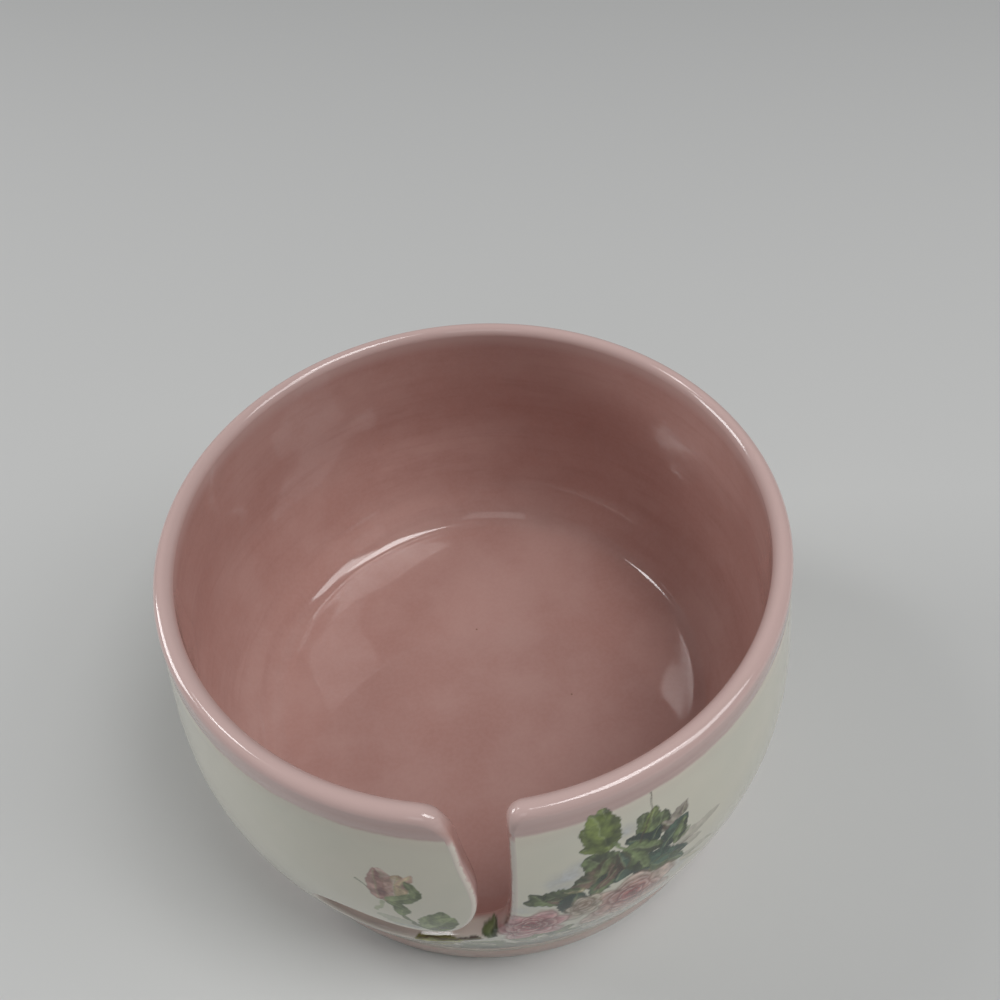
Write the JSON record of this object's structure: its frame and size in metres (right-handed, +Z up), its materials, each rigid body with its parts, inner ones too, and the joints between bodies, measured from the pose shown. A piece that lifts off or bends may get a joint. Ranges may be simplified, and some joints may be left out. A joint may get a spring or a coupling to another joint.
{
  "type": "yarn bowl",
  "caption": "Round-bellied ceramic yarn bowl with a rolled rim, a ring foot and a hooked yarn slot cut down from the rim, with floral transfers on the outside.",
  "frame": {"origin": "middle of the foot, on the surface that the bowl stands on", "axes": "+Z up along the bowl's axis; the yarn slot opens towards -Y and its pocket runs round towards -X"},
  "size_m": [0.1484, 0.1486, 0.086],
  "materials": {
    "clay": "matt bisque",
    "pink_glaze": "gloss",
    "ivory_glaze": "gloss",
    "pink_foot_glaze": "gloss",
    "rose_transfer": "gloss",
    "bud_transfer": "gloss",
    "leaf_transfer": "gloss"
  },
  "bodies": {
    "root": {"clay_body": "clay", "liner_glaze": "pink_glaze", "wall_glaze": "ivory_glaze", "foot_glaze": "pink_foot_glaze", "rose_spray_decal": "rose_transfer", "rosebud_decal": "bud_transfer", "lower_leaf_decal": "leaf_transfer"}
  },
  "joints": []
}
